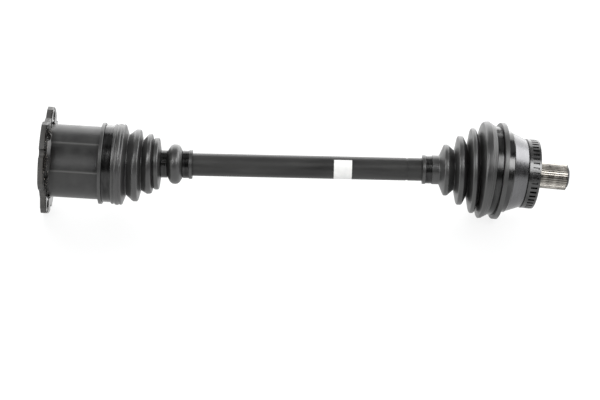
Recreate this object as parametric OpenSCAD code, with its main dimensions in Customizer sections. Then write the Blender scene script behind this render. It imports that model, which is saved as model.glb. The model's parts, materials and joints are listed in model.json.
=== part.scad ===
// Front half shaft of a car: a sliding tripod joint with a bolted flange at the gearbox end, a solid bar,
// and a fixed six-ball joint with a splined stub at the wheel end. Both joints are packed in grease under
// a folded boot that is held by crimped bands.
// The shaft lies along +X, +Z is up, and the origin is the middle of the flange's mating face.

/* [Layout] */
// Distance between the tripod's centre and the ball joint's centre
joint_span = 468; // [440:1:520]
// Angle at which the inner joint rests, downwards, in degrees
inner_bend = 2.5; // [0:0.1:4]
// Angle at which the outer joint rests, downwards, in degrees
outer_bend = 5.6; // [0:0.1:7]
// Angle at which the outer joint rests, to the rear, in degrees
outer_turn = 2.6; // [0:0.1:4]

/* [Flange] */
// Thickness of the flange's lugs
flange_t = 7; // [5:0.5:9]
// Diameter of the bolt circle
bolt_circle_d = 100; // [96:0.5:110]
// Diameter of a bolt hole
bolt_hole_d = 10.4; // [8.4:0.2:12]
// Outer radius of the lugs
lug_r = 59.8; // [58:0.2:64]
// Angle from the middle of a pair of lugs to each bolt, in degrees
lug_angle = 30; // [24:1:30]
// Angle from the middle of a pair of lugs to its outer corner, in degrees
lug_corner = 38; // [36:1:42]
// Angle from the middle of a pair of lugs to the foot of its flank, in degrees
lug_foot = 54; // [50:1:58]
// Cut-off of the lugs' outer corners
lug_chamfer = 5; // [3:0.5:7]
// Radius of the notch between the two lugs of a pair
notch_r = 5; // [3:0.5:7]
// Diameter of the machined seat under a bolt's head
spot_face_d = 18; // [15:0.5:18]
// Depth of the machined seat under a bolt's head
spot_face_depth = 0.6; // [0.2:0.1:1]
// Radius of the flange between the pairs of lugs
web_r = 48.5; // [46:0.5:52]
// How far the ring between the pairs lies below the lugs' rear faces
web_step = 0.4; // [0.2:0.1:1]
// Radius of the fillet between the can and the flange
flange_fillet = 3; // [1:0.5:4]

/* [Inner joint can] */
// Outer diameter of the can
can_d = 81.5; // [78:0.5:88]
// Length of the can, from the mating face to its mouth
can_len = 77; // [70:1:84]
// Diameter of the round rim that the boot sits on
rim_d = 78; // [75:0.5:80]
// Length of the round rim
rim_len = 14; // [12:0.5:18]
// Depth of the flutes between the tracks
flute_depth = 7; // [3:0.5:8]
// Radius of the flutes
flute_r = 36; // [34:1:60]
// Length over which a flute runs out before the rim
flute_runout = 2; // [2:0.5:16]

/* [End cover] */
// Diameter of the pressed-in end cover
cover_d = 72; // [70:0.5:74]
// Thickness of the end cover
cover_t = 5; // [4:0.5:6]
// Thickness of the sealing ring in the cover's edge
seal_d = 2; // [1.4:0.1:2.4]

/* [Tripod] */
// Distance from the mating face to the tripod's centre
tripod_depth = 43; // [38:0.5:45]
// Distance from the tripod's centre to the middle of a roller
roller_pitch_r = 21; // [20:0.25:22]
// Diameter of a roller's barrel face
roller_d = 32; // [29:0.5:33]
// Width of a roller
roller_w = 13; // [11:0.5:14]
// Diameter of a trunnion
trunnion_d = 17; // [15:0.5:18]
// Diameter of a needle
needle_d = 2.2; // [1.6:0.1:2.4]
// Diameter of the spider's hub
hub_d = 35; // [32:0.5:36]
// Width of the spider's hub
hub_w = 20; // [18:0.5:22]
// Thickness of the snap ring on a trunnion
snap_ring_t = 1.4; // [1:0.1:1.8]
// Travel of the tripod towards the flange
plunge_in = 12; // [6:1:14]
// Largest angle of the shaft in the inner joint, in degrees
inner_swing = 23; // [18:0.5:24]
// Side clearance of a roller in its track
track_gap = 0.8; // [0.6:0.1:1]

/* [Shaft] */
// Diameter of the shaft
shaft_d = 25.5; // [24:0.5:27]
// Outer diameter of the splined ends
spline_d = 22; // [20:0.5:23]
// Distance from the tripod's centre to the turned groove in the shaft
groove_pos = 361; // [300:1:365]
// Width of the turned groove
groove_w = 2.5; // [1.5:0.5:4]
// Depth of the turned groove
groove_depth = 0.4; // [0.2:0.1:0.8]
// Thickness of the circlips on the splined ends
circlip_t = 1.5; // [1:0.1:2]
// Height of a circlip above the splined end
circlip_h = 1.8; // [1.2:0.1:2.2]
// Depth of the circlips' grooves
circlip_groove = 1; // [0.6:0.1:1.2]
// Length of a splined end past its circlip
spline_tip = 2.5; // [2:0.1:3]

/* [Inner boot] */
// Radius of the boot's lip and of its wide cylinder
inner_lip_r = 45.6; // [44:0.2:48]
// Width of the lip at the wide end
inner_lip_w = 3.6; // [2.5:0.1:5]
// Length of the wide cylinder behind the band
inner_drum_len = 13.3; // [12:0.1:18]
// Radii of the folds' crests, from the wide end
inner_crest_r = [40.4, 33.4, 29];
// Distances of the folds' crests from the end of the wide cylinder
inner_crest_pos = [13.3, 27.5, 35.5];
// Widths of the folds' crests
inner_crest_w = [5.2, 4.4, 4.6];
// Radii of the valleys in front of the folds
inner_valley_r = [33.6, 28, 26.6];
// Distances of the valleys from the end of the wide cylinder
inner_valley_pos = [2.6, 18.8, 31.7];
// Distance from the last crest to the neck
inner_neck_drop = 4.7; // [4:0.1:7]
// Radius of the bulge behind the neck
bulge_r = 22.2; // [20:0.2:24]
// Length of the bulge
bulge_len = 17.2; // [14:0.2:20]

/* [Outer boot] */
// Radius of the lip at the wide end
outer_lip_r = 53; // [52:0.2:56]
// Width of the lip at the wide end
outer_lip_w = 5; // [4:0.2:7]
// Distance from the ball joint's centre to the boot's wide end
outer_boot_end = 1.5; // [0.5:0.1:3]
// Length of the boot from the clamp at its wide end to its neck
outer_fold_len = 56.2; // [55:0.2:66]
// Radii of the folds' crests, from the neck
outer_crest_r = [28.6, 38.6, 47.6, 54.2];
// Distances of the folds' crests from the neck
outer_crest_pos = [7.3, 23, 37.1, 49.9];
// Widths of the folds' crests
outer_crest_w = [4, 5.5, 4.6, 6.4];
// Radii of the valleys behind the first crests
outer_valley_r = [22, 28, 38];
// Distances of those valleys from the neck
outer_valley_pos = [16.6, 31, 42.6];
// Length of the plain sleeve in front of the folds
sleeve_len = 8; // [5:0.5:10]

/* [Boots and bands] */
// Thickness of a boot's wall
boot_wall = 1.7; // [1.4:0.1:2]
// Thickness of a boot's wall under a band at its wide end
seat_wall = 2.6; // [2.2:0.1:3]
// Thickness of a boot's wall on the shaft under a band
neck_wall = 1.2; // [1.2:0.1:1.8]
// Height of the lips beside a band on the shaft
neck_lip_h = 3.2; // [2.4:0.2:4]
// Width of the lips beside a band on the shaft
neck_lip_w = 3.6; // [3:0.2:5]
// Thickness of a band
band_t = 1.2; // [0.8:0.1:1.4]
// Height of the outer boot's shoulder over the band
shoulder_over = 1; // [0.6:0.1:2]
// Width of a band at a wide end of the inner boot
inner_band_w = 9.6; // [8:0.2:10]
// Width of the band at the wide end of the outer boot
outer_band_w = 6.6; // [4:0.2:8]
// Width of the bands on the shaft
neck_band_w = 6.4; // [5:0.2:7]
// Length of a band's crimped ear around the boot
ear_len = 6; // [4:0.5:8]
// Distance of the ear from the band's edges
ear_inset = 0.4; // [0.2:0.1:0.8]

/* [Ball joint] */
// Diameter of a ball
ball_d = 18; // [17:0.25:18.5]
// Diameter of the circle through the balls' centres
ball_circle_d = 58; // [57:0.5:60]
// Thickness of the ball cage
cage_t = 5; // [4.5:0.1:6]
// Width of the ball cage
cage_w = 26; // [24:0.5:28]
// Width of the inner race
race_w = 24; // [22:0.5:25]
// Radius of the grooves in the inner race, over the balls' radius
race_groove_relief = 2.8; // [2.4:0.1:3]
// Room between a ball and the bottom of its groove in the race
race_groove_gap = 0.7; // [0.5:0.05:0.8]
// Radius of the grooves in the bell, over the balls' radius
bell_groove_relief = 1.6; // [1.4:0.1:1.8]
// Largest angle of the shaft in the outer joint, in degrees
outer_swing = 47; // [44:0.5:48]
// Largest angle of the cage in the bell, in degrees
cage_swing = 22; // [20:0.5:24]
// Thickness of the dished washer
washer_t = 1.6; // [1.2:0.1:2]
// Thickness of the thrust ring
thrust_t = 3; // [2:0.5:4]
// Outer diameter of the dished washer and of the thrust ring
thrust_d = 31; // [29:0.5:32]

/* [Bell] */
// Outer diameter of the bell
bell_d = 91; // [88:0.5:96]
// Distance from the bell's mouth to the ball joint's centre
mouth_depth = 13; // [12:0.5:14]
// Length of the bell's cylinder behind the ball joint's centre
rim_back = 6; // [4:0.5:9]
// Step from the cylinder to the cone
cone_step = 1; // [0.4:0.2:2]
// Length of the bell's cone
cone_len = 17.5; // [14:0.5:20]
// Diameter of the cone's small end
cone_end_d = 75; // [70:0.5:76]
// Diameter of the shoulder against the wheel bearing
shoulder_d = 48; // [40:0.5:56]
// Height of the shoulder over the toothed ring
shoulder_h = 2; // [1:0.1:3]

/* [Toothed ring] */
// Diameter of the ring's seat on the bell
ring_seat_d = 68; // [64:0.5:70]
// Wall of the ring over its seat
ring_wall = 4.75; // [4:0.25:6]
// Width of the ring
ring_w = 13; // [11:0.5:15]
// Number of windows
ring_windows = 44; // [40:1:48]
// Length of a window along the shaft
window_len = 7.2; // [5:0.2:8]
// Width of a window around the ring
window_w = 2.4; // [1.6:0.1:2.8]
// Depth of a window
window_depth = 2.6; // [1:0.1:3]
// Width of the land in front of the windows
window_land = 3.6; // [2:0.1:4]

/* [Stub] */
// Outer diameter of the splined stub
stub_d = 29; // [27:0.5:32]
// Length of the splined stub
stub_len = 36; // [30:1:46]
// Number of teeth
stub_teeth = 38; // [30:1:40]
// Depth of the teeth
tooth_depth = 1.1; // [0.6:0.1:1.2]
// Chamfer on the stub's end
stub_chamfer = 2; // [1:0.5:3]
// Diameter of the tapped hole in the stub's end
thread_d = 14.5; // [12.5:0.5:17]
// Depth of the tapped hole
thread_depth = 26; // [20:1:30]

/* [Fits] */
// Radial gap of pressed and splined pieces
press_gap = 0.02; // [0.01:0.01:0.03]
// Radial gap of rolling and turning pieces
run_gap = 0.05; // [0.03:0.01:0.08]
// Gap around a boot's seats and between the ball joint's spheres
soft_gap = 0.3; // [0.2:0.05:0.4]

/* [Hidden] */
$fn = 96;
// Sides of a boot
boot_sides = 32;
// Overlap of cutting bodies past the faces that they cut
cut = 1;
lugs_from_up = [60, 180, 300];
trunnions_from_up = [0, 120, 240];
balls_from_up = [0, 60, 120, 180, 240, 300];
// Where the bands' ears lie, in degrees from up towards the front
front_ear = 66;
top_ear = 5;
rear_ear = 240;

can_r = can_d / 2;
rim_r = rim_d / 2;
shaft_r = shaft_d / 2;
spline_r = spline_d / 2;
bell_r = bell_d / 2;
roller_r = roller_d / 2;
trunnion_r = trunnion_d / 2;
ball_r = ball_d / 2;
ball_circle_r = ball_circle_d / 2;
ring_r = ring_seat_d / 2 + ring_wall;

// The roller runs on needles, and the snap ring holds both on the trunnion
needle_circle_r = trunnion_r + run_gap + needle_d / 2;
roller_bore_r = needle_circle_r + needle_d / 2 + run_gap;
snap_ring_pos = roller_pitch_r + roller_w / 2 + run_gap;
snap_ring_groove = 1;
snap_ring_over = 0.6;
snap_ring_h = needle_d + snap_ring_over;
trunnion_tip = 1;
trunnion_end = snap_ring_pos + snap_ring_t + trunnion_tip;
trunnion_root = 2;
hub_ball_r = norm([hub_d / 2, hub_w / 4]);
hub_face_r = sqrt(pow(hub_ball_r, 2) - pow(hub_w / 2, 2));

// Room for the rollers, the snap rings and the hub inside the can
track_half_w = roller_r + track_gap;
track_r = max(norm([roller_pitch_r + roller_w / 2, sqrt(pow(roller_r, 2) - pow(roller_w / 2, 2))]),
    norm([trunnion_end, trunnion_r])) + track_gap;
bore_r = hub_ball_r + track_gap;
mouth_reach = can_len - tripod_depth + plunge_in;
mouth_r = mouth_reach * tan(inner_swing) + shaft_r / cos(inner_swing) + soft_gap;
relief_len = (mouth_r - bore_r) / tan(inner_swing);

// The two joints' centres
tripod_at = [tripod_depth * cos(inner_bend), 0, -tripod_depth * sin(inner_bend)];
ball_at = tripod_at + [joint_span, 0, 0];

// The ball joint is a set of spheres about one centre
cage_in_r = ball_circle_r - cage_t / 2;
cage_out_r = ball_circle_r + cage_t / 2;
race_ball_r = cage_in_r - soft_gap;
bell_ball_r = cage_out_r + soft_gap;
race_groove_r = ball_r + race_groove_relief;
race_groove_at = ball_circle_r - ball_r - race_groove_gap + race_groove_r;
bell_groove_r = ball_r + bell_groove_relief;
bell_groove_at = ball_circle_r + ball_r + soft_gap - bell_groove_r;
ball_share = asin(ball_r / ball_circle_r);
groove_reach = cage_swing + ball_share + 1;
race_swing = outer_swing + ball_share + 1;
swung_shaft_r = mouth_depth * tan(outer_swing) + spline_r / cos(outer_swing) + soft_gap;

// Places along the shaft, from the tripod's centre
spider_end = -hub_w / 2;
spider_shoulder = hub_w / 2;
circlip_room = circlip_t + spline_tip;
race_front = joint_span - race_w / 2;
race_back = joint_span + race_w / 2;
washer_front = race_front - washer_t - thrust_t;

// Places along the bell, from the ball joint's centre
cone_end = rim_back + cone_step + cone_len;
ring_end = cone_end + ring_w;
shoulder_end = ring_end + shoulder_h;
stub_end = shoulder_end + stub_len;

// The cutter for the gap between two of the stub's teeth is a triangle that reaches past their tips
gap_h = 1.5 * tooth_depth;
gap_half_w = 0.9 * tooth_depth;

// Inner boot, from the tripod's centre: lip, band seat, drum, folds, neck, bulge and end sleeve
inner_start = can_len - rim_len + soft_gap - tripod_depth;
inner_seat_r = rim_r + soft_gap + seat_wall;
inner_seat = inner_start + inner_lip_w;
inner_drum = inner_seat + inner_band_w + 2 * soft_gap;
inner_drum_end = inner_drum + inner_drum_len;
inner_neck = inner_drum_end + inner_crest_pos[2] + inner_crest_w[2] / 2 + inner_neck_drop / 2;
neck_bore_r = shaft_r + soft_gap;
neck_seat_r = neck_bore_r + neck_wall;
neck_lip_r = shaft_r + neck_lip_h + soft_gap;
neck_seat_len = neck_band_w + 2 * soft_gap;
bulge = inner_neck + neck_seat_len;
inner_sleeve = bulge + bulge_len;
inner_boot_end = inner_sleeve + neck_seat_len + neck_lip_w;
inner_bend_from = inner_drum_end + inner_crest_pos[0];
inner_bend_to = inner_drum_end + inner_valley_pos[2];

// Outer boot, from the ball joint's centre, from its small end to its wide end
outer_seat_end = -outer_boot_end - outer_lip_w;
outer_seat = outer_seat_end - outer_band_w - 2 * soft_gap;
outer_seat_r = bell_r + soft_gap + seat_wall;
outer_neck = outer_seat - outer_fold_len;
outer_sleeve = outer_neck - sleeve_len;
outer_start = outer_sleeve - neck_seat_len - neck_lip_w;
outer_bend_from = outer_neck + outer_crest_pos[2] + outer_crest_w[2] / 2;
outer_bend_to = outer_neck + outer_crest_pos[3] + outer_crest_w[3] / 4;

// Outlines of the boots as [place, radius, length of the eased corner]
inner_outline = concat(
    [[inner_start, inner_lip_r, 1], [inner_seat, inner_lip_r, 1],
     [inner_seat, inner_seat_r, 0], [inner_drum, inner_seat_r, 0],
     [inner_drum, inner_lip_r, 1], [inner_drum_end, inner_lip_r, 3]],
    [for (i = [0:2]) each
        [[inner_drum_end + inner_valley_pos[i], inner_valley_r[i], 0],
         [inner_drum_end + inner_crest_pos[i] - inner_crest_w[i] / 2, inner_crest_r[i], 2],
         [inner_drum_end + inner_crest_pos[i] + inner_crest_w[i] / 2, inner_crest_r[i], 2]]],
    [[inner_neck, neck_seat_r, 0], [bulge, neck_seat_r, 0],
     [bulge + bulge_len / 4, bulge_r, bulge_len / 5], [inner_sleeve - bulge_len / 4, bulge_r, bulge_len / 5],
     [inner_sleeve, neck_seat_r, 0], [inner_sleeve + neck_seat_len, neck_seat_r, 0],
     [inner_sleeve + neck_seat_len, neck_lip_r, 1], [inner_boot_end, neck_lip_r, 1]]);
inner_bore = concat(
    [[inner_start, rim_r + soft_gap], [inner_drum, rim_r + soft_gap]],
    inset(inner_outline, 5, 14, boot_wall),
    [[inner_neck, neck_bore_r], [inner_boot_end, neck_bore_r]]);
outer_outline = concat(
    [[outer_start, neck_lip_r, 1], [outer_start + neck_lip_w, neck_lip_r, 1],
     [outer_start + neck_lip_w, neck_seat_r, 0], [outer_sleeve, neck_seat_r, 0],
     [outer_sleeve, neck_lip_r, 0], [outer_neck, neck_lip_r, 0]],
    [for (i = [0:3]) each
        [[outer_neck + outer_crest_pos[i] - outer_crest_w[i] / 2, outer_crest_r[i], outer_crest_w[i] / 3],
         [outer_neck + outer_crest_pos[i] + outer_crest_w[i] / 2, outer_crest_r[i], outer_crest_w[i] / 3],
         if (i < 3) [outer_neck + outer_valley_pos[i], outer_valley_r[i], 0]]],
    [[outer_seat, outer_seat_r + band_t + shoulder_over, 0],
     [outer_seat, outer_seat_r, 0], [outer_seat_end, outer_seat_r, 0],
     [outer_seat_end, outer_lip_r, 1], [-outer_boot_end, outer_lip_r, 1]]);
outer_bore = concat(
    [[outer_start, neck_bore_r], [outer_neck, neck_bore_r]],
    inset(outer_outline, 6, 16, boot_wall),
    [[outer_seat, bell_r + soft_gap], [-outer_boot_end, bell_r + soft_gap]]);

// Points of an outline with each corner eased by two chords of a parabola
ease_share = 0.45;
function eased(outline) = [for (i = [0:len(outline) - 1])
    let (b = outline[i], p = [b[0], b[1]], ease = b[2])
    each (ease == 0 || i == 0 || i == len(outline) - 1) ? [p]
        : let (a = flat(outline[i - 1]), c = flat(outline[i + 1]), from = p + towards(p, a, ease),
               to = p + towards(p, c, ease))
          [from, (from + 2 * p + to) / 4, to]];
function flat(corner) = [corner[0], corner[1]];
function towards(p, q, ease) = (q - p) / norm(q - p) * min(ease, norm(q - p) * ease_share);

// Corners of an outline from one index to another, moved inwards by the wall
function inset(outline, first, last, wall) = [for (i = [first:last])
    let (p = flat(outline[i]), n1 = inward(flat(outline[i - 1]), p), n2 = inward(p, flat(outline[i + 1])),
         m = (n1 + n2) / norm(n1 + n2))
    p + m * wall / (m * n1)];
function inward(p, q) = [q[1] - p[1], p[0] - q[0]] / norm(q - p);

// Share of a turn between two places, with soft ends
function soft_step(x, from, to) = let (t = min(max((x - from) / (to - from), 0), 1)) t * t * (3 - 2 * t);

// A closed outline swept round the shaft, each ring turned about the joint by a share of its bend and turn
module swept_boot(loop, shares, bend, turn) {
    count = len(loop);
    points = [for (j = [0:count - 1]) for (i = [0:boot_sides - 1])
        let (around = 360 * (i + 0.5) / boot_sides, a = bend * shares[j], b = turn * shares[j],
             x = loop[j][0], y = loop[j][1] * cos(around), z = loop[j][1] * sin(around),
             along = x * cos(b) - y * sin(b))
        [along * cos(a) + z * sin(a), x * sin(b) + y * cos(b), z * cos(a) - along * sin(a)]];
    faces = [for (j = [0:count - 1]) for (i = [0:boot_sides - 1])
        let (k = (j + 1) % count, n = (i + 1) % boot_sides, a = j * boot_sides, b = k * boot_sides)
        each [[a + i, a + n, b + n], [a + i, b + n, b + i]]];
    polyhedron(points, faces);
}

function reversed(list) = [for (i = [len(list) - 1:-1:0]) list[i]];

// Frames of the rigid groups
module at_housing() { rotate([0, inner_bend, 0]) children(); }
module at_shaft() { translate(tripod_at) children(); }
module at_cage() { translate(ball_at) rotate([0, outer_bend, 0]) rotate([0, 0, outer_turn / 2]) children(); }
module at_bell() { translate(ball_at) rotate([0, outer_bend, 0]) rotate([0, 0, outer_turn]) children(); }

// A body turned about the shaft's axis from points of [place, radius]
module turned(points) {
    rotate([0, 90, 0]) rotate_extrude() polygon([for (p = points) [p[1], p[0]]]);
}
module rod(from, to, r) { translate([from, 0, 0]) rotate([0, 90, 0]) cylinder(h = to - from, r = r); }
module tube(from, to, r_in, r_out) {
    difference() {
        rod(from, to, r_out);
        rod(from - cut, to + cut, r_in);
    }
}
module every(angles) { for (a = angles) rotate([a, 0, 0]) children(); }

module circlip(from) {
    tube(from, from + circlip_t, spline_r - circlip_groove + run_gap, spline_r + circlip_h);
}

// A crimped band: a strip with a pinched ear across it
module band(from, width, r, ear) {
    difference() {
        union() {
            rod(from, from + width, r + run_gap + band_t);
            rotate([ear, 0, 0])
                for (side = [-1, 1])
                    translate([0, side * ear_len / 3, r + band_t / 2])
                        rod(from + ear_inset, from + width - ear_inset, ear_len / 4);
        }
        rod(from - cut, from + width + cut, r + run_gap);
    }
}

// The flange: a ring round the can, and three pairs of lugs with sloped flanks and a notch between the two
module flange() {
    rod(0, flange_t - web_step, web_r);
    every(lugs_from_up) difference() {
        intersection() {
            rod(0, flange_t, lug_r);
            rotate([90, 0, 90]) linear_extrude(flange_t) polygon(lug_pair_outline());
        }
        translate([0, 0, lug_r]) rod(-cut, flange_t + cut, notch_r);
    }
}
function on_circle(r, angle) = r * [sin(angle), cos(angle)];
function mirrored(points) = [for (i = [len(points) - 1:-1:0]) [-points[i][0], points[i][1]]];
function lug_pair_outline() =
    let (foot = on_circle(web_r - cut, lug_foot), corner = on_circle(lug_r, lug_corner),
         flank = corner + towards(corner, foot, lug_chamfer),
         edge = on_circle(lug_r, lug_corner - asin(lug_chamfer / lug_r)),
         side = [foot, flank, 2 * edge - flank])
    concat([[0, 0]], side, [[0, 2 * lug_r]], mirrored(side));
module lug_holes() {
    every(lugs_from_up) every([-lug_angle, lug_angle]) translate([0, 0, bolt_circle_d / 2]) {
        rod(-cut, flange_t + cut, bolt_hole_d / 2);
        rod(flange_t - spot_face_depth, flange_t + 2 * flange_fillet, spot_face_d / 2);
    }
}
module flutes() {
    flute_end = can_len - rim_len;
    flute_at = can_r - flute_depth + flute_r;
    every(lugs_from_up) translate([0, 0, flute_at]) {
        rod(flange_t, flute_end - flute_runout, flute_r);
        translate([flute_end - flute_runout, 0, 0])
            rotate([0, 90, 0]) cylinder(h = flute_runout, r1 = flute_r, r2 = flute_r - flute_depth - cut);
    }
}
module tracks() {
    rod(-cut, can_len + cut, bore_r);
    every(trunnions_from_up) intersection() {
        translate([-cut, -track_half_w, 0]) cube([can_len + 2 * cut, 2 * track_half_w, track_r]);
        rod(-cut, can_len + cut, track_r);
    }
    translate([can_len - relief_len, 0, 0])
        rotate([0, 90, 0]) cylinder(h = relief_len + cut, r1 = bore_r, r2 = mouth_r + cut * tan(inner_swing));
}
module inner_housing() {
    color("#26272a") at_housing() difference() {
        union() {
            difference() {
                turned([[0, 0], [0, can_r], [flange_t, can_r], [can_len - rim_len, can_r],
                    [can_len - rim_len, rim_r], [can_len, rim_r], [can_len, 0]]);
                flutes();
            }
            flange();
            flange_corner();
        }
        tracks();
        rod(-cut, cover_t, cover_d / 2 + press_gap);
        lug_holes();
    }
}
// Sloped metal in the corner between the can and the back of the flange, behind each pair of lugs
module flange_corner() {
    inside = can_r - flute_depth - cut;
    sweep = 2 * lug_corner;
    every(lugs_from_up) rotate([0, 90, 0]) rotate([0, 0, 180 - sweep / 2]) rotate_extrude(angle = sweep)
        polygon([[inside, flange_t - cut], [can_r + flange_fillet + cut, flange_t - cut],
            [can_r - cut / 2, flange_t + flange_fillet + cut / 2],
            [inside, flange_t + flange_fillet + cut / 2]]);
}

module end_cover() {
    color("#6d6f70") at_housing() difference() {
        rod(0, cover_t, cover_d / 2);
        seal_groove();
    }
}
module seal_groove() {
    translate([cover_t / 2 - seal_d / 2 - run_gap, 0, 0])
        tube(0, seal_d + 2 * run_gap, cover_d / 2 - seal_d, cover_d / 2 + cut);
}
module cover_seal() {
    color("#111111") at_housing() translate([cover_t / 2, 0, 0]) rotate([0, 90, 0])
        rotate_extrude() translate([cover_d / 2 - seal_d / 2, 0]) circle(d = seal_d - run_gap);
}

module spider() {
    color("#85868a") at_shaft() difference() {
        union() {
            difference() {
                turned([[spider_end, 0], [spider_end, hub_face_r], [-hub_w / 4, hub_d / 2],
                    [hub_w / 4, hub_d / 2], [spider_shoulder, hub_face_r], [spider_shoulder, 0]]);
                every(trunnions_from_up) translate([0, 0, roller_pitch_r - roller_w / 2 - run_gap])
                    cylinder(h = hub_d, r = roller_bore_r + cut);
            }
            every(trunnions_from_up) translate([0, 0, spline_r + trunnion_root])
                cylinder(h = trunnion_end - spline_r - trunnion_root, r = trunnion_r);
        }
        rod(spider_end - cut, spider_shoulder + cut, spline_r + press_gap);
        every(trunnions_from_up) translate([0, 0, snap_ring_pos]) difference() {
            cylinder(h = snap_ring_t + 2 * run_gap, r = trunnion_r + cut);
            translate([0, 0, -cut]) cylinder(h = snap_ring_t + 3 * cut, r = trunnion_r - snap_ring_groove);
        }
    }
}
module roller(angle) {
    color("#9fa1a4") at_shaft() rotate([angle, 0, 0]) translate([0, 0, roller_pitch_r]) difference() {
        intersection() {
            sphere(r = roller_r);
            translate([0, 0, -roller_w / 2]) cylinder(h = roller_w, r = roller_r + cut);
        }
        translate([0, 0, -roller_w]) cylinder(h = 2 * roller_w, r = roller_bore_r);
    }
}
module needles(angle) {
    count = floor(360 / (2 * asin((needle_d / 2 + run_gap) / needle_circle_r)));
    color("#c4c6c8") at_shaft() rotate([angle, 0, 0])
        for (i = [0:count - 1])
            rotate([0, 0, 360 * i / count])
                translate([needle_circle_r, 0, roller_pitch_r - roller_w / 2])
                    cylinder(h = roller_w, d = needle_d, $fn = 16);
}
module trunnion_snap_rings() {
    color("#4a4b4d") at_shaft() every(trunnions_from_up) translate([0, 0, snap_ring_pos + run_gap])
        difference() {
            cylinder(h = snap_ring_t, r = trunnion_r + snap_ring_h);
            translate([0, 0, -cut])
                cylinder(h = snap_ring_t + 2 * cut, r = trunnion_r - snap_ring_groove + run_gap);
        }
}
module spider_circlip() {
    color("#4a4b4d") at_shaft() circlip(spider_end - circlip_t - run_gap);
}

module inner_boot() {
    loop = concat(eased(inner_outline), reversed(inner_bore));
    shares = [for (p = loop) 1 - soft_step(p[0], inner_bend_from, inner_bend_to)];
    color("#3a3b3d") at_shaft() swept_boot(loop, shares, inner_bend, 0);
}
module inner_boot_large_band() {
    color("#55575a") at_housing()
        band(inner_seat + soft_gap + tripod_depth, inner_band_w, inner_seat_r, rear_ear);
}
module inner_boot_neck_band() {
    color("#303133") at_shaft() band(inner_neck + soft_gap, neck_band_w, neck_seat_r, front_ear);
}
module inner_boot_small_band() {
    color("#303133") at_shaft() band(inner_sleeve + soft_gap, neck_band_w, neck_seat_r, rear_ear);
}

module drive_shaft() {
    color("#2b2c2e") at_shaft() difference() {
        turned([[spider_end - circlip_room, 0], [spider_end - circlip_room, spline_r],
            [spider_shoulder, spline_r], [spider_shoulder, shaft_r],
            [washer_front, shaft_r], [washer_front, spline_r],
            [race_back + circlip_room, spline_r], [race_back + circlip_room, 0]]);
        tube(groove_pos, groove_pos + groove_w, shaft_r - groove_depth, shaft_r + cut);
        for (from = [spider_end - circlip_t - 2 * run_gap, race_back])
            tube(from, from + circlip_t + 2 * run_gap, spline_r - circlip_groove, spline_r + cut);
    }
}

module outer_boot() {
    loop = concat(eased(outer_outline), reversed(outer_bore));
    shares = [for (p = loop) soft_step(p[0], outer_bend_from, outer_bend_to)];
    color("#3a3b3d") translate(ball_at) swept_boot(loop, shares, outer_bend, outer_turn);
}
module outer_boot_small_band() {
    color("#303133") translate(ball_at)
        band(outer_start + neck_lip_w + soft_gap, neck_band_w, neck_seat_r, rear_ear);
}
module outer_boot_large_band() {
    color("#77797c") at_bell() band(outer_seat + soft_gap, outer_band_w, outer_seat_r, top_ear);
}

// A ball whose poles lie on the shaft's axis
module axial_ball(r) { rotate([0, 90, 0]) sphere(r = r); }

// A groove for a ball: part of a ring about the ball joint's centre
module ball_groove(at, r, from, to) {
    rotate([90, 0, 0]) rotate([0, 0, from])
        rotate_extrude(angle = to - from) translate([at, 0]) circle(r = r);
}
module inner_race() {
    color("#8f9194") at_shaft() translate([joint_span, 0, 0]) difference() {
        intersection() {
            axial_ball(race_ball_r);
            rod(-race_w / 2, race_w / 2, race_ball_r + cut);
        }
        rod(-race_w, race_w, spline_r + press_gap);
        every(balls_from_up) ball_groove(race_groove_at, race_groove_r, 90 - race_swing, 90 + race_swing);
    }
}
module ball_cage() {
    color("#7c7e81") at_cage() difference() {
        intersection() {
            axial_ball(cage_out_r);
            rod(-cage_w / 2, cage_w / 2, cage_out_r + cut);
        }
        axial_ball(cage_in_r);
        every(balls_from_up)
            cylinder(h = cage_out_r + cut, r = ball_r + run_gap);
    }
}
module balls() {
    color("#c4c6c8") at_cage() every(balls_from_up)
        translate([0, 0, ball_circle_r]) sphere(r = ball_r);
}
module race_circlip() {
    color("#4a4b4d") at_shaft() circlip(race_back + run_gap);
}
module dished_washer() {
    color("#5d5f61") at_shaft() tube(washer_front, washer_front + washer_t, spline_r + run_gap, thrust_d / 2);
}
module thrust_ring() {
    color("#d8d2c0") at_shaft() tube(race_front - thrust_t, race_front, spline_r + run_gap, thrust_d / 2);
}

module bell_housing() {
    root_r = stub_d / 2 - tooth_depth;
    color("#8c8e90") at_bell() difference() {
        turned([[-mouth_depth, 0], [-mouth_depth, bell_r], [rim_back, bell_r],
            [rim_back + cone_step, bell_r - cone_step], [cone_end, cone_end_d / 2],
            [cone_end, ring_seat_d / 2], [ring_end, ring_seat_d / 2],
            [ring_end, shoulder_d / 2], [shoulder_end, shoulder_d / 2],
            [shoulder_end, stub_d / 2], [stub_end - stub_chamfer, stub_d / 2],
            [stub_end - stub_chamfer, root_r - cut / 4],
            [stub_end, root_r - cut / 4 - stub_chamfer], [stub_end, 0]]);
        axial_ball(bell_ball_r);
        every(balls_from_up) ball_groove(bell_groove_at, bell_groove_r, 90 - groove_reach, 90 + groove_reach);
        translate([-mouth_depth - cut, 0, 0]) rotate([0, 90, 0])
            cylinder(h = mouth_depth + cut, r1 = swung_shaft_r + cut * tan(outer_swing), r2 = spline_r);
        rod(stub_end - thread_depth, stub_end + cut, thread_d / 2);
        every([for (i = [0:stub_teeth - 1]) 360 * i / stub_teeth])
            translate([shoulder_end + tooth_depth, 0, 0]) rotate([90, 0, 90])
                linear_extrude(stub_len - tooth_depth - stub_chamfer + run_gap)
                    polygon([[0, root_r], [-gap_half_w, root_r + gap_h], [gap_half_w, root_r + gap_h]]);
    }
}
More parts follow.
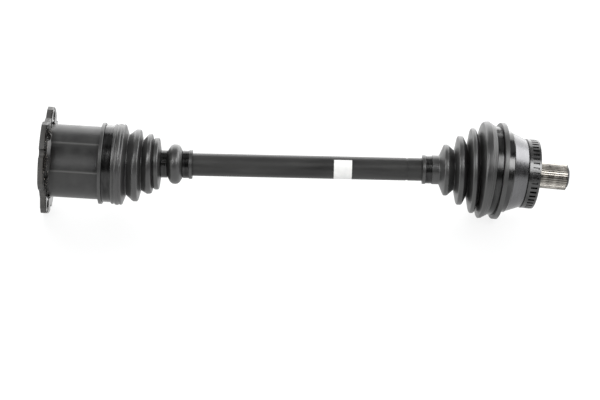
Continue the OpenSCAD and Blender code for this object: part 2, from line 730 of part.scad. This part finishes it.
module toothed_ring() {
    color("#46484b") at_bell() difference() {
        tube(cone_end + run_gap, ring_end - run_gap, ring_seat_d / 2 + press_gap, ring_r);
        every([for (i = [0:ring_windows - 1]) 360 * i / ring_windows])
            translate([cone_end + window_land, -window_w / 2, ring_r - window_depth])
                cube([window_len, window_w, ring_r]);
    }
}

inner_housing();
end_cover();
cover_seal();
spider();
roller(trunnions_from_up[0]);  // roller_1
roller(trunnions_from_up[1]);  // roller_2
roller(trunnions_from_up[2]);  // roller_3
needles(trunnions_from_up[0]);  // needles_1
needles(trunnions_from_up[1]);  // needles_2
needles(trunnions_from_up[2]);  // needles_3
trunnion_snap_rings();
spider_circlip();
inner_boot();
inner_boot_large_band();
inner_boot_neck_band();
inner_boot_small_band();
drive_shaft();
outer_boot();
outer_boot_small_band();
outer_boot_large_band();
inner_race();
ball_cage();
balls();
race_circlip();
dished_washer();
thrust_ring();
bell_housing();
toothed_ring();
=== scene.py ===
"""A front half shaft of a car, lying on a white studio floor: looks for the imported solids."""
import json

import bpy
import numpy as np
from mathutils import Euler, Matrix, Vector


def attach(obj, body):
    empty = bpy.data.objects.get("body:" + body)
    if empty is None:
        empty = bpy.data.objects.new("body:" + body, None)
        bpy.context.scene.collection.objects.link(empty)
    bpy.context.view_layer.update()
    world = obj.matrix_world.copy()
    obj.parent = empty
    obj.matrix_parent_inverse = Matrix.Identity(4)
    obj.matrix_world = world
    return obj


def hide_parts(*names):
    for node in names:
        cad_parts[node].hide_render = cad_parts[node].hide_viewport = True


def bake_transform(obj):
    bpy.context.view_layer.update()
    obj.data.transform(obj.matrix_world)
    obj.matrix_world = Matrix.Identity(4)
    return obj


MM = 0.001
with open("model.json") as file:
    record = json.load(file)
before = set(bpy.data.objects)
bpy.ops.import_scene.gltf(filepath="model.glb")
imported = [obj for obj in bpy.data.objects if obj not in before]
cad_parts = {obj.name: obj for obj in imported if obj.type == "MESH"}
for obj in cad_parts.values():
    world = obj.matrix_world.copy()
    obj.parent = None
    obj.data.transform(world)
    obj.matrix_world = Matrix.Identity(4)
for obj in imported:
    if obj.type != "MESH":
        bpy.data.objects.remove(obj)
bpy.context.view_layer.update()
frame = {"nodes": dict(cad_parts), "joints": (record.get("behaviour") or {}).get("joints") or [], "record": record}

# Where the two joints are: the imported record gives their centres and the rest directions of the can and
# of the bell, so that every new piece is set from the same points as the solids.
joints = {joint["name"]: joint for joint in frame["joints"]}
mounts = {mount["name"]: mount for mount in frame["record"]["mounts"]}
tripod = np.array(joints["inner_pitch"]["pos_m"])
ball = np.array(joints["outer_pitch"]["pos_m"])
can_axis = np.array(joints["inner_plunge"]["axis"])
bell_axis = np.array(mounts["stub_thread"]["axis"])
can_bend = np.arctan2(-can_axis[2], can_axis[0])
bell_bend = np.arctan2(-bell_axis[2], bell_axis[0])
bell_turn = np.arcsin(bell_axis[1])


# The can of the gearbox joint is a forging with six bolt lugs, painted black over a rough skin. The paint
# is half glossy, thin and brownish towards the flange's corner, where the flange's rear face and the corner
# itself are painted near black as painted shade. Thin light lines on the ridges beside the flutes are painted
# highlights.
def mottle_group():
    """Two noises over one vector: the coarse one mixes two colours and two roughnesses, and the fine one
    is added to it as a height."""
    group = bpy.data.node_groups.new("mottle", "ShaderNodeTree")
    for name, kind in (("Vector", "Vector"), ("Coarse", "Float"), ("Fine", "Float"), ("Contrast", "Float"),
                       ("Dark", "Color"), ("Light", "Color"), ("Smooth", "Float"), ("Rough", "Float")):
        group.interface.new_socket(name, in_out="INPUT", socket_type="NodeSocket" + kind)
    for name, kind in (("Color", "Color"), ("Roughness", "Float"), ("Height", "Float"), ("Grain", "Float")):
        group.interface.new_socket(name, in_out="OUTPUT", socket_type="NodeSocket" + kind)
    nodes, links = group.nodes, group.links
    given, result = nodes.new("NodeGroupInput"), nodes.new("NodeGroupOutput")
    coarse, fine = nodes.new("ShaderNodeTexNoise"), nodes.new("ShaderNodeTexNoise")
    coarse.inputs["Detail"].default_value = 5
    fine.inputs["Detail"].default_value = 3
    spread = nodes.new("ShaderNodeMapRange")
    tint, gloss = nodes.new("ShaderNodeMix"), nodes.new("ShaderNodeMix")
    tint.data_type = "RGBA"
    low, high, height = (nodes.new("ShaderNodeMath") for _ in range(3))
    low.operation, low.inputs[0].default_value = "SUBTRACT", 0.5
    high.operation, high.inputs[0].default_value = "ADD", 0.5
    height.operation, height.inputs[1].default_value = "MULTIPLY_ADD", 0.5
    links.new(given.outputs["Vector"], coarse.inputs["Vector"])
    links.new(given.outputs["Vector"], fine.inputs["Vector"])
    links.new(given.outputs["Coarse"], coarse.inputs["Scale"])
    links.new(given.outputs["Fine"], fine.inputs["Scale"])
    links.new(given.outputs["Contrast"], low.inputs[1])
    links.new(given.outputs["Contrast"], high.inputs[1])
    links.new(coarse.outputs["Fac"], spread.inputs["Value"])
    links.new(low.outputs[0], spread.inputs["From Min"])
    links.new(high.outputs[0], spread.inputs["From Max"])
    links.new(spread.outputs[0], tint.inputs["Factor"])
    links.new(given.outputs["Dark"], tint.inputs["A"])
    links.new(given.outputs["Light"], tint.inputs["B"])
    links.new(spread.outputs[0], gloss.inputs["Factor"])
    links.new(given.outputs["Smooth"], gloss.inputs["A"])
    links.new(given.outputs["Rough"], gloss.inputs["B"])
    links.new(fine.outputs["Fac"], height.inputs[0])
    links.new(spread.outputs[0], height.inputs[2])
    links.new(tint.outputs["Result"], result.inputs["Color"])
    links.new(gloss.outputs["Result"], result.inputs["Roughness"])
    links.new(height.outputs[0], result.inputs["Height"])
    links.new(fine.outputs["Fac"], result.inputs["Grain"])
    return group


mottle = mottle_group()


def finish(name, dark, light, gloss, coarse, fine, stretch=(1, 1, 1), contrast=0.2, bump=0.1, depth=0.0002,
           metallic=0.0, specular=0.5, turn=(0, 0, 0), centre=(0, 0, 0)):
    """A material with mottled colour, roughness and relief, in Object coordinates turned about a centre."""
    material = bpy.data.materials.new(name)
    material.use_nodes = True
    nodes, links = material.node_tree.nodes, material.node_tree.links
    shader = nodes["Principled BSDF"]
    shader.inputs["Metallic"].default_value = metallic
    shader.inputs["Specular IOR Level"].default_value = specular
    place, mapping = nodes.new("ShaderNodeTexCoord"), nodes.new("ShaderNodeMapping")
    mapping.inputs["Location"].default_value = -(Euler(turn).to_matrix() @ Vector(centre))
    mapping.inputs["Rotation"].default_value = turn
    scaled, effect = nodes.new("ShaderNodeVectorMath"), nodes.new("ShaderNodeGroup")
    scaled.operation, scaled.inputs[1].default_value = "MULTIPLY", stretch
    effect.node_tree, effect.name = mottle, "mottle"
    values = {"Coarse": coarse, "Fine": fine, "Contrast": contrast, "Smooth": gloss[0], "Rough": gloss[1],
              "Dark": (*dark, 1), "Light": (*light, 1)}
    for socket, value in values.items():
        effect.inputs[socket].default_value = value
    relief = nodes.new("ShaderNodeBump")
    relief.name = "relief"
    relief.inputs["Strength"].default_value = bump
    relief.inputs["Distance"].default_value = depth
    links.new(place.outputs["Object"], mapping.inputs["Vector"])
    links.new(mapping.outputs["Vector"], scaled.inputs[0])
    links.new(scaled.outputs["Vector"], effect.inputs["Vector"])
    links.new(effect.outputs["Color"], shader.inputs["Base Color"])
    links.new(effect.outputs["Roughness"], shader.inputs["Roughness"])
    links.new(effect.outputs["Height"], relief.inputs["Height"])
    links.new(relief.outputs["Normal"], shader.inputs["Normal"])
    return material


def zoned(material, start, end, zones, steps="CONSTANT"):
    """Let a finish's two colours and two roughnesses follow zones along its X axis, and its share of metal
    where that changes too. A zone is (place, dark, light, smooth, rough) or those and metallic, with its
    place in millimetres."""
    nodes, links = material.node_tree.nodes, material.node_tree.links
    split, reach = nodes.new("ShaderNodeSeparateXYZ"), nodes.new("ShaderNodeMapRange")
    reach.inputs["From Min"].default_value = start * MM
    reach.inputs["From Max"].default_value = end * MM
    links.new(nodes["Mapping"].outputs["Vector"], split.inputs[0])
    links.new(split.outputs["X"], reach.inputs["Value"])
    effect = nodes["mottle"].inputs
    sockets = (effect["Dark"], effect["Light"], effect["Smooth"], effect["Rough"],
               nodes["Principled BSDF"].inputs["Metallic"])
    places, *columns = zip(*zones)
    for socket, values in zip(sockets, columns):
        ramp = nodes.new("ShaderNodeValToRGB")
        ramp.color_ramp.interpolation = steps
        stops = ramp.color_ramp.elements
        while len(stops) < len(zones):
            stops.new(0.5)
        for stop, place, value in zip(stops, places, values):
            stop.position = (place - start) / (end - start)
            stop.color = (*np.broadcast_to(value, 3), 1)
        links.new(reach.outputs[0], ramp.inputs["Fac"])
        links.new(ramp.outputs["Color"], socket)


def dress(material, *names):
    """Give CAD nodes one material."""
    for name in names:
        frame["nodes"][name].data.materials.clear()
        frame["nodes"][name].data.materials.append(material)


can_paint = finish("can_paint", (0, 0, 0), (0, 0, 0), (0, 0), 60, 900, bump=0.05, specular=0.5,
                   turn=(0, -can_bend, 0))
zoned(can_paint, 0, 80, (
    (0, (0.03, 0.03, 0.03), (0.065, 0.064, 0.062), 0.4, 0.6),
    (5, (0.022, 0.022, 0.021), (0.055, 0.051, 0.047), 0.4, 0.5),
    # From 5.8 to 8 mm the flange's rear face and its corner with the can are painted near black: painted shade.
    (5.8, (0.002, 0.002, 0.002), (0.006, 0.005, 0.004), 0.12, 0.2),
    (8, (0.002, 0.002, 0.002), (0.006, 0.005, 0.004), 0.2, 0.3),
    (16, (0.014, 0.014, 0.014), (0.03, 0.03, 0.0295), 0.34, 0.46)), "LINEAR")


def bare_specks(material, first, last, colour):
    """Grains of bare metal that break through a finish between two places along its X axis."""
    nodes, links = material.node_tree.nodes, material.node_tree.links
    rise, fall, grain, both, share = (nodes.new("ShaderNode" + kind) for kind in (
        "MapRange", "MapRange", "MapRange", "Math", "Math"))
    limits = ((rise, first[0] * MM, first[1] * MM), (fall, last[1] * MM, last[0] * MM), (grain, 0.66, 0.7))
    for node, low, high in limits:
        node.inputs["From Min"].default_value = low
        node.inputs["From Max"].default_value = high
    both.operation = share.operation = "MULTIPLY"
    cover = nodes.new("ShaderNodeMix")
    cover.data_type, cover.inputs["B"].default_value = "RGBA", (*colour, 1)
    for node in (rise, fall):
        links.new(nodes["Separate XYZ"].outputs["X"], node.inputs["Value"])
    links.new(nodes["mottle"].outputs["Grain"], grain.inputs["Value"])
    links.new(rise.outputs[0], both.inputs[0])
    links.new(fall.outputs[0], both.inputs[1])
    links.new(both.outputs[0], share.inputs[0])
    links.new(grain.outputs[0], share.inputs[1])
    links.new(share.outputs[0], cover.inputs["Factor"])
    links.new(nodes["mottle"].outputs["Color"], cover.inputs["A"])
    links.new(cover.outputs["Result"], nodes["Principled BSDF"].inputs["Base Color"])


def painted_ridge_highlights(material, ridge, width, start, colour):
    """Painted highlights: thin light lines along the ridges beside the flutes, where rounded edges would catch the
    light. The angle round the X axis is folded every sixth of a turn, so that all six ridges lie at one value of
    it, and the colour fades over a width."""
    nodes, links = material.node_tree.nodes, material.node_tree.links
    round_axis, folded, offset, beside = (nodes.new("ShaderNodeMath") for _ in range(4))
    round_axis.operation, folded.operation = "ARCTAN2", "PINGPONG"
    offset.operation, beside.operation = "SUBTRACT", "ABSOLUTE"
    folded.inputs[1].default_value, offset.inputs[1].default_value = np.pi / 3, ridge
    near, along, both = (nodes.new("ShaderNode" + kind) for kind in ("MapRange", "MapRange", "Math"))
    both.operation = "MULTIPLY"
    for node, low, high in ((near, width, 0), (along, start[0] * MM, start[1] * MM)):
        node.inputs["From Min"].default_value = low
        node.inputs["From Max"].default_value = high
    cover = nodes.new("ShaderNodeMix")
    cover.data_type, cover.inputs["B"].default_value = "RGBA", (*colour, 1)
    shade = nodes["Principled BSDF"].inputs["Base Color"]
    place = nodes["Separate XYZ"]
    links.new(place.outputs["Y"], round_axis.inputs[0])
    links.new(place.outputs["Z"], round_axis.inputs[1])
    links.new(round_axis.outputs[0], folded.inputs[0])
    links.new(folded.outputs[0], offset.inputs[0])
    links.new(offset.outputs[0], beside.inputs[0])
    links.new(beside.outputs[0], near.inputs["Value"])
    links.new(place.outputs["X"], along.inputs["Value"])
    links.new(near.outputs[0], both.inputs[0])
    links.new(along.outputs[0], both.inputs[1])
    links.new(both.outputs[0], cover.inputs["Factor"])
    links.new(shade.links[0].from_socket, cover.inputs["A"])
    links.new(cover.outputs["Result"], shade)


bare_steel, ridge_highlight_colour = (0.5, 0.44, 0.38), (0.09, 0.09, 0.088)
track_to_ridge, ridge_width = np.radians(36.9), 0.035
bare_specks(can_paint, (4.8, 5.6), (8, 11), bare_steel)
# Thin light lines along the ridges beside the flutes are painted highlights.
painted_ridge_highlights(can_paint, track_to_ridge, ridge_width, (9, 16), ridge_highlight_colour)
dress(can_paint, "inner_housing")
dress(finish("cover_steel", (0.2, 0.2, 0.2), (0.34, 0.34, 0.33), (0.3, 0.5), 60, 700, metallic=1),
      "end_cover")
dress(finish("seal_rubber", (0.01, 0.01, 0.01), (0.02, 0.02, 0.02), (0.6, 0.8), 80, 900), "cover_seal")

# Inside the can: a spider with three trunnions, whose rollers turn on needles. All of it is ground steel
# under grease, held by blackened snap rings, and shows only when the joint is opened.
bearing_steel = finish("bearing_steel", (0.4, 0.4, 0.4), (0.55, 0.55, 0.54), (0.15, 0.28), 70, 900,
                       bump=0.03, metallic=1)
spring_steel = finish("spring_steel", (0.05, 0.05, 0.05), (0.1, 0.1, 0.1), (0.35, 0.5), 90, 900, metallic=1)
dress(bearing_steel, "spider", "roller_1", "roller_2", "roller_3", "needles_1", "needles_2", "needles_3")
dress(spring_steel, "trunnion_snap_rings", "spider_circlip")

# The boots are blown from a hard thermoplastic, dark grey and satin, with thin walls and deep folds. Each
# boot is cut on the crests of two folds into three lengths.
def eased(corners, samples=9):
    """Points along an outline of [place, radius, ease]: each corner becomes a parabola that starts and ends
    the ease's length away from it, at most 0.45 of the way to the next corner."""
    points, ease = corners[:, :2], corners[:, 2:]
    legs = np.diff(points, axis=0)
    length = np.linalg.norm(legs, axis=1, keepdims=True)
    legs = legs / length
    back, on = np.minimum(ease[1:-1], 0.45 * length[:-1]), np.minimum(ease[1:-1], 0.45 * length[1:])
    t = np.linspace(0, 1, samples)[None, :, None]
    corner = points[1:-1, None]
    start, end = corner - (legs[:-1] * back)[:, None], corner + (legs[1:] * on)[:, None]
    curves = (1 - t) ** 2 * start + 2 * t * (1 - t) * corner + t ** 2 * end
    ends = np.repeat(points[[0, -1]][:, None], samples, axis=1)
    return np.concatenate([ends[:1], curves, ends[1:]])


def inset(corners, wall):
    """The same outline moved inwards by the wall, corner by corner along the mean of its two normals. A
    sharp corner moves at most the wall / 0.45, and each ease is 0.6 of the outline's."""
    points = corners[:, :2]
    legs = np.diff(points, axis=0)
    normal = np.stack([legs[:, 1], -legs[:, 0]], axis=1) / np.linalg.norm(legs, axis=1, keepdims=True)
    before, after = np.vstack([normal[:1], normal]), np.vstack([normal, normal[-1:]])
    mean = before + after
    mean = mean / np.linalg.norm(mean, axis=1, keepdims=True)
    moved = points + mean * (wall / np.maximum((mean * before).sum(1), 0.45))[:, None]
    return np.column_stack([moved, corners[:, 2] * 0.6])


def rings(loop, sides=180):
    """Rows of points: each point of a [place, radius] loop goes round the X axis."""
    around = 2 * np.pi * (np.arange(sides) + 0.5) / sides
    x, radius = loop[:, :1], loop[:, 1:2]
    return np.stack([x + 0 * around, radius * np.cos(around), radius * np.sin(around)], axis=2)


def swung(points, share, bend, turn, centre):
    """Each row of points is turned by its share of a turn about Z, then of a bend about Y, and moved from
    the origin to the centre."""
    a, b = (bend * share)[:, None], (turn * share)[:, None]
    x, y, z = np.moveaxis(points, 2, 0)
    along, across = x * np.cos(b) - y * np.sin(b), x * np.sin(b) + y * np.cos(b)
    forward, upward = along * np.cos(a) + z * np.sin(a), z * np.cos(a) - along * np.sin(a)
    return np.stack([forward, across, upward], axis=2) * MM + centre


def ring_mesh(name, grid, material, sharp=0.7):
    """A closed mesh from a grid of rings: rows wrap round the profile and columns round the axis. Edges that
    bend by more than the sharp angle aren't smoothed."""
    rows, sides = grid.shape[:2]
    i, j = np.meshgrid(np.arange(rows), np.arange(sides), indexing="ij")
    k, n = (i + 1) % rows, (j + 1) % sides
    faces = np.stack([i * sides + j, i * sides + n, k * sides + n, k * sides + j], axis=2).reshape(-1, 4)
    mesh = bpy.data.meshes.new(name)
    mesh.from_pydata(grid.reshape(-1, 3).tolist(), [], faces.tolist())
    mesh.shade_smooth()
    mesh.set_sharp_from_angle(angle=sharp)
    mesh.materials.append(material)
    piece = bpy.data.objects.new(name, mesh)
    bpy.context.scene.collection.objects.link(piece)
    return piece


def soft_step(x, start, end):
    """0 before the start, 1 after the end, and an S curve between them."""
    t = np.clip((x - start) / (end - start), 0, 1)
    return t * t * (3 - 2 * t)


def boot_length(name, outer, inner, first, last, place, node):
    """One length of a boot, from the middle of one corner's curve to the middle of another's, closed by the
    same corners of its bore. A point that lies on the next one is left out."""
    middle = outer.shape[1] // 2
    cut = slice(first * outer.shape[1] + middle, last * outer.shape[1] + middle + 1)
    loop = np.vstack([outer.reshape(-1, 2)[cut], inner.reshape(-1, 2)[cut][::-1]])
    least_step = 0.0001
    loop = loop[np.linalg.norm(np.roll(loop, -1, axis=0) - loop, axis=1) > least_step]
    piece = ring_mesh(name, place(loop), boot_plastic, sharp=0.5)
    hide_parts(node)
    return piece


boot_plastic = finish("boot_plastic", (0.009, 0.009, 0.009), (0.016, 0.016, 0.0155), (0.34, 0.42), 90, 1500,
                      bump=0.06, specular=1)

# Six bolt seats are cut bright into the rear faces of the lugs. Their places are millimetres along the can
# from the flange's front face.
seat_steel = finish("seat_steel", (0.55, 0.55, 0.54), (0.75, 0.75, 0.73), (0.14, 0.22), 300, 1500,
                    bump=0.005, metallic=1)
bolts = mounts["flange_bolts"]["dims"]
bolt_circle, seat_bore, seat_edge = bolts["pcd_mm"] / 2, bolts["hole_r_mm"] + 0.1, 8.8
seat_under, seat_face = 6.3, 6.46
seat_loop = np.array([[seat_under, seat_bore], [seat_face, seat_bore],
                      [seat_face, seat_edge], [seat_under, seat_edge]])
for number in range(bolts["count"]):
    angle = 2 * np.pi * (number + 0.5) / bolts["count"]
    spot = rings(seat_loop[::-1], 48) + bolt_circle * np.array([0, np.sin(angle), np.cos(angle)])
    seat = ring_mesh(f"bolt_seat_{number + 1}", swung(spot, np.ones(4), can_bend, 0, 0), seat_steel)
    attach(seat, "housing")

# Inner boot: a lip and a band seat on the can, a wide drum with two ribs, three folds, and a neck, a bulge
# and a sleeve on the shaft. Places are millimetres from the tripod's centre, as [place, radius, ease].
inner_outer = np.array([
    [20.3, 45.6, 1], [23.9, 45.6, 1], [23.9, 41.9, 0.3], [34.1, 41.9, 0.3],
    [34.1, 44.6, 0.6], [36.2, 44.9, 0.8], [37.3, 43.9, 0.8], [38.9, 45.6, 1.2], [41.8, 45.6, 1.2],
    [43.2, 44.4, 0.8], [44.4, 45.4, 0.9], [46.0, 44.8, 1.4],
    [50.0, 33.6, 1.4], [58.1, 40.4, 2.2], [60.7, 40.4, 0.3], [63.3, 40.4, 2.2],
    [66.2, 28.0, 1.2], [72.7, 33.4, 1.8], [74.9, 33.4, 0.3], [77.1, 33.4, 1.8],
    [79.1, 26.6, 1.0], [80.6, 29.0, 1.2], [85.2, 29.0, 1.6],
    [87.55, 14.25, 0.4], [94.55, 14.25, 0.4], [98.85, 22.2, 4], [107.45, 22.2, 4], [111.75, 14.25, 0.6],
    [118.75, 14.25, 0.3], [118.75, 16.25, 0.8], [122.35, 16.25, 0.8]])
# The bore keeps a wall's distance from the outline, and is plain on the can and from the neck on.
wall, on_can, on_shaft = 1.7, 39.3, 13.05
inner_inner = inset(inner_outer, wall)
inner_inner[:5, :2] = np.linspace((20.3, on_can), (35.2, on_can), 5)
inner_inner[23:, :2] = np.linspace((87, on_shaft), (122.35, on_shaft), 8)


def inner_place(loop):
    """All up to the first crest lies square to the can, all from the last valley on lies square to the
    shaft, and the second fold turns from one to the other."""
    first_crest, last_valley = 60.7, 79.1
    share = 1 - soft_step(loop[:, 0], first_crest, last_valley)
    return swung(rings(loop), share, can_bend, 0, tripod)


# Each length has a name, the corners where it is cut, the places where its bend starts and ends, and the
# two bodies that it joins.
for name, first, last, start, end, bodies in (
        ("inner_boot_wide_end", 0, 14, 38, 60.4, ("housing", "inner_boot")),
        ("inner_boot_middle_fold", 14, 18, 60.9, 73.4, ("inner_boot", "roller_1")),
        ("inner_boot_neck", 18, 30, 76.3, 87, ("roller_1", "shaft"))):
    piece = boot_length(name, eased(inner_outer), eased(inner_inner), first, last, inner_place,
                        "inner_boot")
    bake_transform(piece)

# Crimped bands of dark steel strip hold the boots. Their rolled surface is brushed along the strip.
band_steel = finish("band_steel", (0.03, 0.03, 0.03), (0.062, 0.062, 0.062), (0.18, 0.28), 70, 900,
                    (4, 1, 1), metallic=1)
dress(band_steel, "inner_boot_large_band", "inner_boot_neck_band", "inner_boot_small_band",
      "outer_boot_small_band", "outer_boot_large_band")

# The shaft is a solid bar, turned and painted thin and satin. Lighter streaks run along it, and a thin band
# near the outer boot is painted bright as the highlight of a groove: a painted highlight.
shaft_paint = finish("shaft_paint", (0, 0, 0), (0, 0, 0), (0, 0), 90, 900, (0.15, 1, 1), bump=0.12,
                     specular=0.25, centre=tripod)
zoned(shaft_paint, 0, 500, (
    (0, (0.018, 0.018, 0.018), (0.04, 0.04, 0.039), 0.3, 0.44, 0),
    # A thin band painted bright: the painted highlight of a groove.
    (361.6, (0.08, 0.08, 0.08), (0.12, 0.12, 0.12), 0.3, 0.4, 0.5),
    (362.9, (0.018, 0.018, 0.018), (0.04, 0.04, 0.039), 0.3, 0.44, 0)))
dress(shaft_paint, "drive_shaft")

# A white paper label is wrapped round the shaft, past its bottom, and left bare. Angles run from straight
# up towards the camera's side.
paper = finish("label_paper", (0.72, 0.72, 0.71), (0.82, 0.82, 0.81), (0.5, 0.6), 120, 1500, bump=0.05)
label_at, label_r, label_angles = (280.6, 300.7), (12.78, 12.92), (24.6, 250)
turns = np.radians(np.linspace(*label_angles, 72))
label_loop = np.column_stack([np.repeat(label_at, 2), (*label_r, *label_r[::-1])])
label_rows = np.stack([np.stack([x + 0 * turns, -r * np.sin(turns), r * np.cos(turns)], axis=1)
                       for x, r in label_loop], axis=1)
label_mesh = bpy.data.meshes.new("shaft_label")
corners = np.arange(len(turns) * 4).reshape(-1, 4)
beside = np.roll(corners, -1, axis=1)
walls = np.stack([corners[:-1], corners[1:], beside[1:], beside[:-1]], axis=2).reshape(-1, 4)
label_faces = np.vstack([walls, corners[:1], corners[-1:, ::-1]])
label_mesh.from_pydata((label_rows.reshape(-1, 3) * MM + tripod).tolist(), [], label_faces.tolist())
label_mesh.materials.append(paper)
label = bpy.data.objects.new("shaft_label", label_mesh)
bpy.context.scene.collection.objects.link(label)
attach(label, "shaft")

# Outer boot: a lip and a band seat on the shaft, a sleeve, four growing folds, a stepped flank and the seat
# on the bell. Places are millimetres from the ball joint's centre. The bore is plain on the shaft and on the
# bell, and straight behind the steps.
outer_outer = np.array([
    [-88.5, 16.25, 0.8], [-84.9, 16.25, 0.8], [-84.9, 14.25, 0.3], [-77.9, 14.25, 0.3], [-77.9, 16.25, 0.6],
    [-69.9, 16.25, 1.0],
    [-64.6, 28.6, 1.8], [-62.6, 28.6, 0.15], [-60.6, 28.6, 1.8], [-53.3, 22, 1.0],
    [-49.65, 38.6, 2.4], [-46.9, 38.6, 0.3], [-44.15, 38.6, 2.4], [-38.9, 28, 1.0],
    [-35.1, 47.6, 2], [-30.5, 47.6, 2], [-27.3, 38, 1.0],
    [-23.8, 54.2, 1.9], [-19.2, 54.2, 0.5],
    [-18.7, 52.9, 0.2], [-16.6, 52.5, 0.2], [-16.1, 51.5, 0.2], [-14.2, 51.1, 0.2],
    [-13.7, 50.2, 0.2], [-13.7, 48.4, 0.3], [-6.5, 48.4, 0.3], [-6.5, 54, 1], [-1.5, 54, 1]])
on_bell = 45.8
outer_inner = inset(outer_outer, wall)
outer_inner[:6, :2] = np.linspace((-88.5, on_shaft), (-70.5, on_shaft), 6)
outer_inner[19:23, :2] = np.linspace(outer_inner[18, :2], outer_inner[23, :2], 6)[1:-1]
outer_inner[24:, :2] = np.linspace((-15.2, on_bell), (-1.5, on_bell), 4)


def outer_place(loop):
    """Three folds lie square to the shaft, and the last one turns into the bell's direction."""
    third_crest, flank = -30.5, -18
    share = soft_step(loop[:, 0], third_crest, flank)
    return swung(rings(loop), share, bell_bend, bell_turn, ball)


for name, first, last, start, end, bodies in (
        ("outer_boot_neck", 0, 7, -70, -62.8, ("shaft", "outer_boot")),
        ("outer_boot_second_fold", 7, 11, -62.4, -47.1, ("outer_boot", "cage")),
        ("outer_boot_wide_end", 11, 27, -46.7, -19, ("cage", "bell"))):
    piece = boot_length(name, eased(outer_outer), eased(outer_inner), first, last, outer_place,
                        "outer_boot")
    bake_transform(piece)

# Inside the bell: the race on the shaft, six balls in their cage, a circlip, a dished washer and a thrust
# ring that keep the race in place.
dress(bearing_steel, "inner_race", "ball_cage", "balls")
dress(spring_steel, "race_circlip", "dished_washer")
dress(finish("thrust_plastic", (0.5, 0.46, 0.38), (0.62, 0.58, 0.5), (0.4, 0.55), 60, 800), "thrust_ring")

# The bell is turned steel: a black glossy rim, a satin cone, a bright shoulder and a bare splined stub with
# a dark end. The toothed ring of the wheel speed sensor is pressed on it.
bell_steel = finish("bell_steel", (0, 0, 0), (0, 0, 0), (0, 0), 60, 900, (3, 1, 1), bump=0.06, metallic=1,
                    turn=(0, -bell_bend, -bell_turn), centre=ball)
zoned(bell_steel, -40, 80, (
    (-40, (0.055, 0.055, 0.055), (0.078, 0.078, 0.078), 0.16, 0.24),
    (7, (0.13, 0.13, 0.134), (0.16, 0.16, 0.164), 0.24, 0.3),
    (37.4, (0.34, 0.335, 0.325), (0.46, 0.45, 0.44), 0.25, 0.35),
    (39.6, (0.19, 0.18, 0.165), (0.42, 0.402, 0.37), 0.25, 0.4),
    (72.5, (0.05, 0.05, 0.05), (0.12, 0.12, 0.12), 0.3, 0.45)))
dress(bell_steel, "bell_housing")
ring_steel = finish("ring_steel", (0.06, 0.06, 0.06), (0.12, 0.12, 0.12), (0.2, 0.32), 90, 900, metallic=1,
                    turn=(0, -bell_bend, -bell_turn), centre=ball)
dress(ring_steel, "toothed_ring")

# Studio: a white floor that touches the flange and the outer boot, a bright wall behind it, two soft boxes
# beside the camera, and dimmer ones to the left, above and to the right. The touching points are [x, z].
touch_can = np.array([0.0, -0.0598])
touch_boot = np.array([ball[0] - 0.0246, ball[2] - 0.0525])
slope = (touch_boot - touch_can)[1] / (touch_boot - touch_can)[0]
floor_mesh = bpy.data.meshes.new("floor")
floor_mesh.from_pydata([(x, y, touch_can[1] + slope * x) for x, y in ((-6, -6), (7, -6), (7, 6), (-6, 6))],
                       [], [(0, 1, 2, 3)])
floor = bpy.data.objects.new("floor", floor_mesh)
bpy.context.scene.collection.objects.link(floor)
white = bpy.data.materials.new("studio_white")
white.use_nodes = True
paint = white.node_tree.nodes["Principled BSDF"]
paint.inputs["Base Color"].default_value = (0.08, 0.082, 0.082, 1)
paint.inputs["Roughness"].default_value = 0.6
paint.inputs["Emission Color"].default_value = (1, 1, 1, 1)
paint.inputs["Emission Strength"].default_value = 0.86
floor_mesh.materials.append(white)

world = bpy.data.worlds.new("studio")
world.use_nodes = True
world.node_tree.nodes["Background"].inputs["Color"].default_value = (1, 1, 1, 1)
world.node_tree.nodes["Background"].inputs["Strength"].default_value = 0.06
bpy.context.scene.world = world


def soft_box(name, position, aim, size, radiance):
    """A rectangular lamp of a given radiance, aimed at a point."""
    lamp = bpy.data.lights.new(name, "AREA")
    lamp.shape, lamp.size, lamp.size_y = "RECTANGLE", *size
    lamp.energy = radiance * np.pi * size[0] * size[1]
    box = bpy.data.objects.new(name, lamp)
    box.location = position
    box.rotation_euler = (Vector(aim) - Vector(position)).to_track_quat("-Z", "Y").to_euler()
    bpy.context.scene.collection.objects.link(box)


soft_box("back_wall", (0.29, 2.2, 1.15), (0.29, 0, 0.3), (5, 2.6), 3)
soft_box("top_box", (0.29, 0.3, 2.2), (0.29, 0, 0), (3.2, 1.4), 0.4)
soft_box("front_left_box", (-0.85, -1.55, 1.7), (0.1, 0, 0), (0.75, 1.35), 8)
soft_box("front_right_box", (1.5, -1.55, 1.7), (0.45, 0, 0), (1.1, 1.35), 8)
soft_box("left_box", (-1.6, -0.2, 0.45), (0.1, 0, 0), (2, 0.8), 4)
soft_box("high_right_box", (1.95, 0.3, 1.0), (0.5, 0, 0), (1.4, 1.4), 4.8)

# Camera: in front of the shaft and above it, rolled a little so that the shaft falls to the right.
elevation, roll, distance = np.radians(23.4), np.radians(1.26), 1.985
pixel, image_width, shaft_above_middle = 1.12 * MM, 600, 33.15
drop = np.arctan(shaft_above_middle * pixel / distance)
middle_of_view = 0.2436
sight = tripod + np.array([middle_of_view, 0, 0])
position = sight - distance * np.array([0, np.cos(elevation), -np.sin(elevation)])
forward = np.array([0, np.cos(elevation + drop), -np.sin(elevation + drop)])
right = np.array([1.0, 0, 0])
up = np.cross(right, forward)
axes = np.column_stack([np.cos(roll) * right + np.sin(roll) * up, np.cos(roll) * up - np.sin(roll) * right,
                        -forward])
lens = bpy.data.cameras.new("camera")
lens.sensor_width = 36
lens.lens = lens.sensor_width * distance / pixel / image_width
camera = bpy.data.objects.new("camera", lens)
camera.matrix_world = Matrix.Translation(Vector(position)) @ Matrix(axes.tolist()).to_4x4()
bpy.context.scene.collection.objects.link(camera)
bpy.context.scene.camera = camera
bpy.context.scene.view_settings.view_transform = "Standard"
